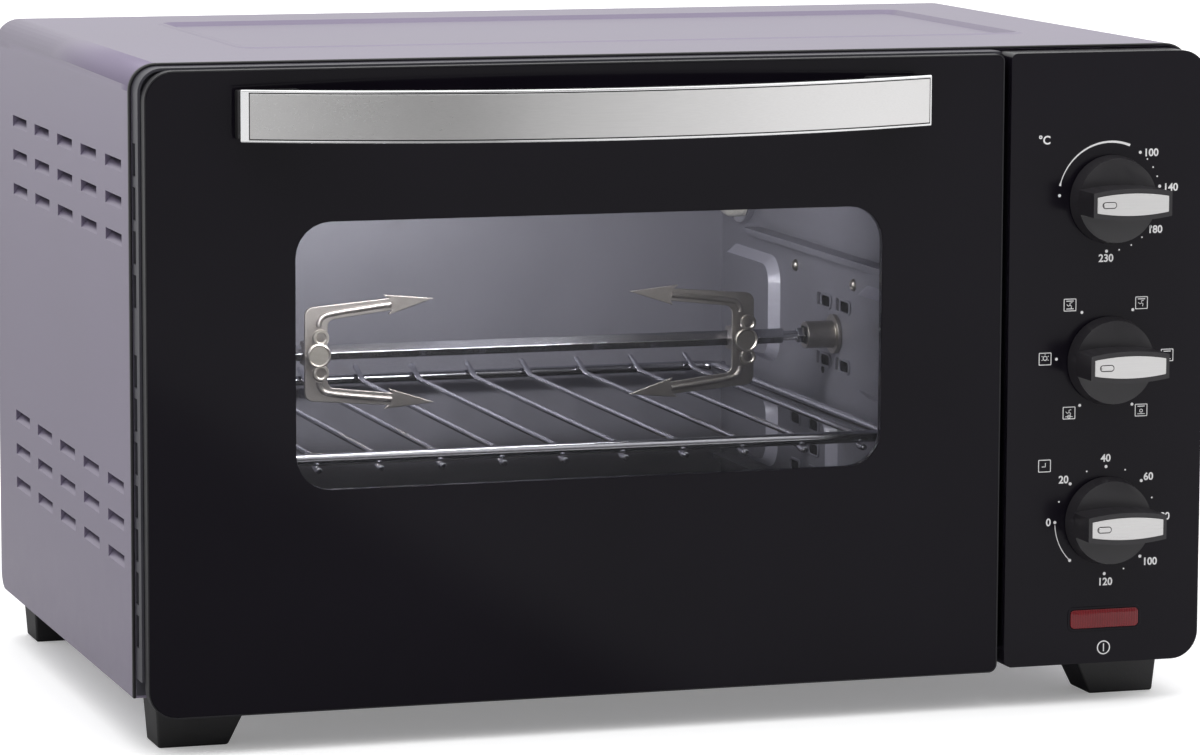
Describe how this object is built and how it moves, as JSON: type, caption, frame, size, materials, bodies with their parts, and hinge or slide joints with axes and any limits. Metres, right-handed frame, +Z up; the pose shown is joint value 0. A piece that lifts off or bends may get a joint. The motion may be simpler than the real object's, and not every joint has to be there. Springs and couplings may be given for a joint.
{
  "type": "rotisserie oven",
  "caption": "Countertop oven with a full-height drop-down glass door, bowed handle, knob panel, wire rack and a driven rotisserie spit with forks.",
  "frame": {"origin": "centre of the overall footprint, on the surface the feet stand on", "axes": "+Z up, front of the oven towards -Y, the control panel on the +X side"},
  "size_m": [0.5, 0.376, 0.304],
  "materials": {
    "silver_paint": "satin silver paint",
    "grey_enamel": "grey coated sheet",
    "black_gloss": "gloss black",
    "black_plastic": "matte black",
    "switch_plastic": "moulded",
    "red_lens": "dark red translucent",
    "heater_steel": "heat-tinted tube",
    "plain_steel": "satin",
    "dark_steel": "dark coated sheet",
    "chrome_trim": "bright",
    "brushed_trim": "brushed",
    "black_glass": "black printed border with a clear window",
    "lamp_glass": "clear"
  },
  "bodies": {
    "housing": {"outer_wrap": "silver_paint", "base_plate": "silver_paint", "back_panel": "silver_paint", "front_frame": "grey_enamel", "cavity_left_wall": "grey_enamel", "cavity_right_wall": "grey_enamel", "cavity_back_wall": "grey_enamel", "cavity_ceiling": "grey_enamel", "cavity_floor": "grey_enamel", "control_panel": "black_gloss", "control_bracket": "plain_steel", "thermostat": "switch_plastic", "selector_switch": "switch_plastic", "timer": "switch_plastic", "indicator_lens": "red_lens", "foot_front_left": "black_plastic", "foot_front_right": "black_plastic", "foot_back_left": "black_plastic", "foot_back_right": "black_plastic", "rear_spacer_left": "black_plastic", "rear_spacer_right": "black_plastic", "cord_gland": "black_plastic", "heater_top_front": "heater_steel", "heater_top_back": "heater_steel", "heater_bottom_front": "heater_steel", "heater_bottom_back": "heater_steel", "lamp_ring": "chrome_trim", "lamp_glass": "lamp_glass", "spit_rest": "plain_steel", "rotisserie_motor": "plain_steel", "fan_motor": "plain_steel", "hinge_bracket_left": "plain_steel", "hinge_bracket_right": "plain_steel"},
    "door": {"door_frame": "dark_steel", "door_glass": "black_glass", "door_liner": "dark_steel", "handle_rim": "chrome_trim", "handle_plate": "brushed_trim", "handle_post_left": "black_plastic", "handle_post_right": "black_plastic", "hinge_pin_left": "plain_steel", "hinge_pin_right": "plain_steel", "stay_arm_left": "plain_steel", "stay_arm_right": "plain_steel"},
    "rack": {"wire_rack": "chrome_trim"},
    "tray": {"crumb_tray": "grey_enamel"},
    "spit": {"spit_bar": "plain_steel", "drive_socket": "plain_steel"},
    "fork_l": {"fork_left": "plain_steel"},
    "fork_r": {"fork_right": "plain_steel"},
    "screw_l": {"thumbscrew_left": "chrome_trim"},
    "screw_r": {"thumbscrew_right": "chrome_trim"},
    "fan": {"fan_wheel": "plain_steel"},
    "knob_temperature": {"temperature_knob": "black_gloss", "temperature_insert": "brushed_trim"},
    "knob_function": {"function_knob": "black_gloss", "function_insert": "brushed_trim"},
    "knob_timer": {"timer_knob": "black_gloss", "timer_insert": "brushed_trim"}
  },
  "joints": [
    {"name": "door_hinge", "type": "hinge", "parent": "housing", "child": "door", "pos_m": [-0.0486, -0.1335, 0.027], "axis": [1, 0, 0], "range_deg": [0, 83]},
    {"name": "rack_slide", "type": "slide", "parent": "housing", "child": "rack", "axis": [0, -1, 0], "range_m": [0, 0.175]},
    {"name": "tray_slide", "type": "slide", "parent": "housing", "child": "tray", "axis": [0, -1, 0], "range_m": [0, 0.044]},
    {"name": "spit_spin", "type": "hinge", "parent": "housing", "child": "spit", "pos_m": [0.12, -0.006, 0.159], "axis": [1, 0, 0], "continuous": true},
    {"name": "fork_left_slide", "type": "slide", "parent": "spit", "child": "fork_l", "axis": [1, 0, 0], "range_m": [-0.045, 0.03]},
    {"name": "fork_right_slide", "type": "slide", "parent": "spit", "child": "fork_r", "axis": [1, 0, 0], "range_m": [-0.03, 0.005]},
    {"name": "thumbscrew_left_turn", "type": "hinge", "parent": "fork_l", "child": "screw_l", "pos_m": [-0.138, -0.018, 0.159], "axis": [0, 1, 0], "continuous": true},
    {"name": "thumbscrew_right_turn", "type": "hinge", "parent": "fork_r", "child": "screw_r", "pos_m": [0.071, -0.018, 0.159], "axis": [0, 1, 0], "continuous": true},
    {"name": "fan_spin", "type": "hinge", "parent": "housing", "child": "fan", "pos_m": [0.13, 0.022, 0.1025], "axis": [1, 0, 0], "continuous": true},
    {"name": "temperature_turn", "type": "hinge", "parent": "housing", "child": "knob_temperature", "pos_m": [0.203, -0.143, 0.2348], "axis": [0, 1, 0], "range_deg": [0, 270]},
    {"name": "function_turn", "type": "hinge", "parent": "housing", "child": "knob_function", "pos_m": [0.203, -0.143, 0.1605], "axis": [0, 1, 0], "range_deg": [0, 300]},
    {"name": "timer_turn", "type": "hinge", "parent": "housing", "child": "knob_timer", "pos_m": [0.203, -0.143, 0.0862], "axis": [0, 1, 0], "range_deg": [-48, 270]}
  ],
  "couplings": [
    {"joint": "rack_slide", "follows": "door_hinge", "m_per_rad": 0.12},
    {"joint": "tray_slide", "follows": "door_hinge", "m_per_rad": 0.03}
  ]
}
